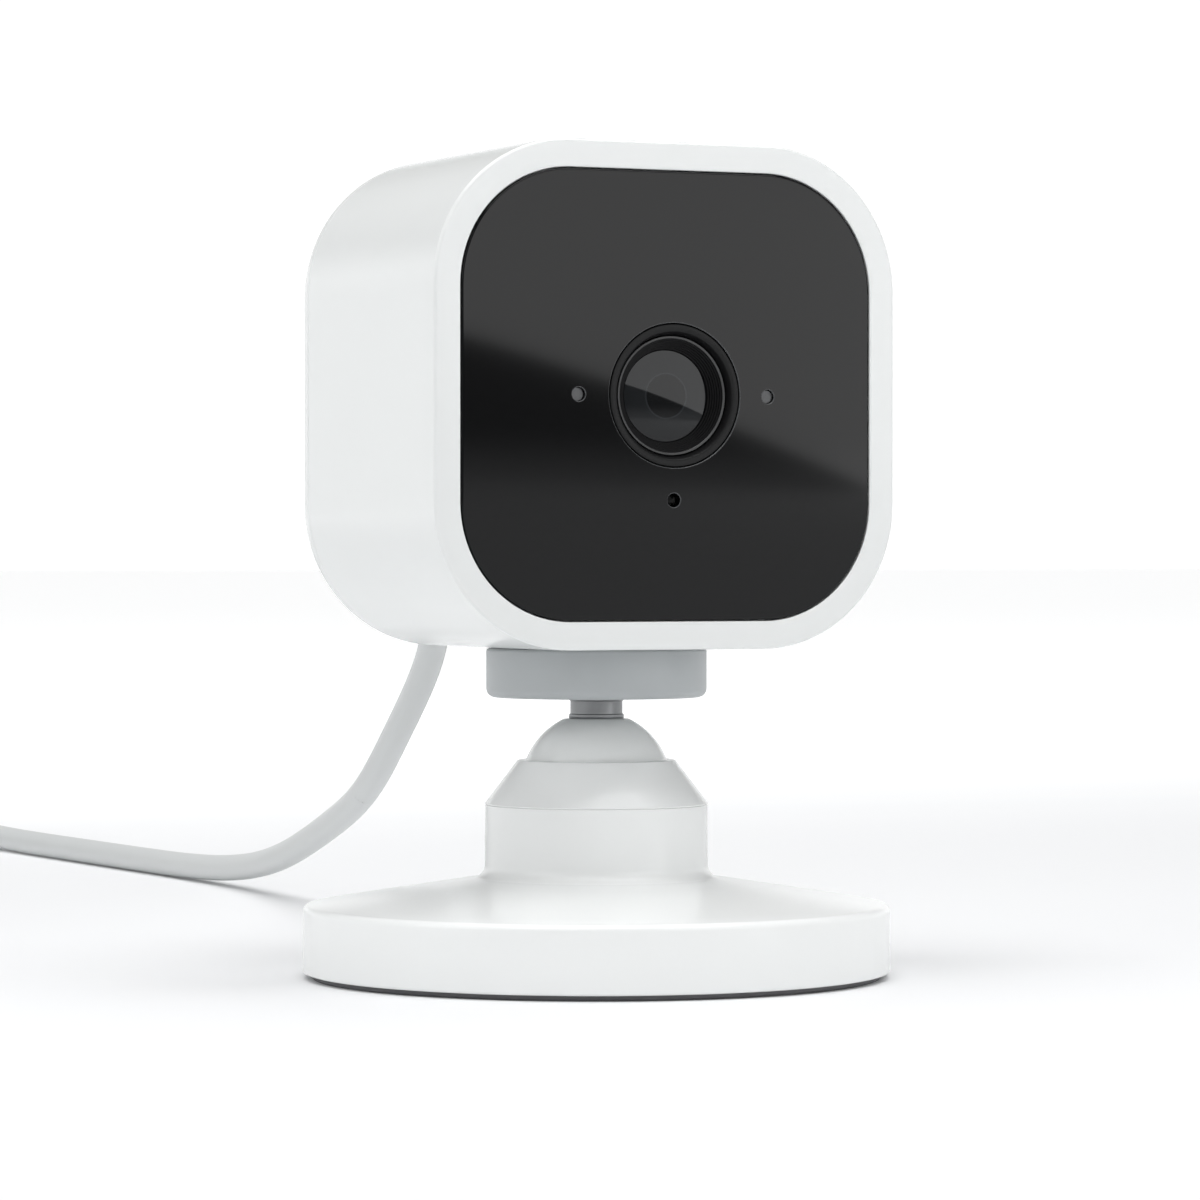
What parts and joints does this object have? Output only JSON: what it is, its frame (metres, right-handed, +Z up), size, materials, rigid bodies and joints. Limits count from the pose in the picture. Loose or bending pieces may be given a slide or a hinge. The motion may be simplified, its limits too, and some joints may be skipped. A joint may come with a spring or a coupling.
{
  "type": "security camera",
  "caption": "Compact square indoor security camera with round corners and a black domed front panel, on a ball-jointed stand with a white power lead.",
  "frame": {"origin": "centre of the base disc on the table", "axes": "+Z up; the camera looks along -Y and its lead leaves towards +Y; +X is to the right of someone facing the camera from the front"},
  "size_m": [0.0749, 0.3144, 0.0831],
  "materials": {
    "white_shell": "glossy",
    "grey_puck": "satin",
    "dark_stem": "satin",
    "black_panel": "glossy",
    "black_part": "satin",
    "light_pipe": "glossy",
    "lens_glass": "coated",
    "foot_rubber": "matte",
    "inner_rubber": "matte",
    "seat_plastic": "satin",
    "plate_plastic": "matte",
    "steel": "satin",
    "heat_plate": "satin",
    "board": "satin",
    "chip": "matte",
    "led": "glossy",
    "gold_film": "satin",
    "cord_jacket": "satin",
    "plug_metal": "bright"
  },
  "bodies": {
    "stand": {"base_cover": "white_shell", "socket_collar": "white_shell", "spring_washer": "steel", "mount_plate": "plate_plastic", "foot_pad": "foot_rubber"},
    "pan_seat": {"ball_seat": "seat_plastic", "cord_floor": "cord_jacket", "cord_coil": "cord_jacket", "cord_tie": "chip", "supply_boot": "cord_jacket", "supply_grip": "cord_jacket", "supply_shell": "plug_metal"},
    "lean_pad": {"friction_pad": "inner_rubber"},
    "head": {"ball": "white_shell", "stem": "dark_stem", "puck": "grey_puck", "puck_screw": "steel", "front_housing": "white_shell", "rear_cover": "white_shell", "front_panel": "black_panel", "panel_gasket": "inner_rubber", "lens_trim": "black_part", "lens_barrel": "black_part", "front_lens": "lens_glass", "aperture_stop": "black_part", "rear_lens": "lens_glass", "lens_holder": "black_part", "ir_filter": "lens_glass", "image_sensor": "chip", "led_board": "board", "ir_leds": "led", "status_led": "led", "light_sensor": "chip", "status_light_pipe": "light_pipe", "sensor_light_pipe": "light_pipe", "microphone": "steel", "mic_boot": "inner_rubber", "main_board": "board", "processor": "chip", "shield_can": "steel", "antenna": "gold_film", "thermal_pad": "inner_rubber", "heat_spreader": "heat_plate", "board_screws": "steel", "power_board": "board", "usb_receptacle": "steel", "reset_switch": "chip", "speaker": "black_part", "speaker_gasket": "inner_rubber", "usb_shell": "plug_metal", "plug_grip": "cord_jacket", "plug_boot": "cord_jacket", "cord_lead": "cord_jacket"},
    "button": {"reset_button": "grey_puck"}
  },
  "joints": [
    {"name": "pan", "type": "hinge", "parent": "stand", "child": "pan_seat", "pos_m": [0, 0, 0.0192], "axis": [0, 0, 1], "range_deg": [-120, 120]},
    {"name": "lean", "type": "hinge", "parent": "pan_seat", "child": "lean_pad", "pos_m": [0, 0, 0.0192], "axis": [0, 1, 0], "range_deg": [-15, 15], "deforming": ["cord_lead"]},
    {"name": "tilt", "type": "hinge", "parent": "lean_pad", "child": "head", "pos_m": [0, 0, 0.0192], "axis": [1, 0, 0], "range_deg": [-40, 40], "deforming": ["cord_lead"]},
    {"name": "reset_button", "type": "slide", "parent": "head", "child": "button", "axis": [0, -1, 0], "range_m": [0, 0.0004], "stiffness_N_per_m": 2000, "springref_m": -0.0004}
  ]
}
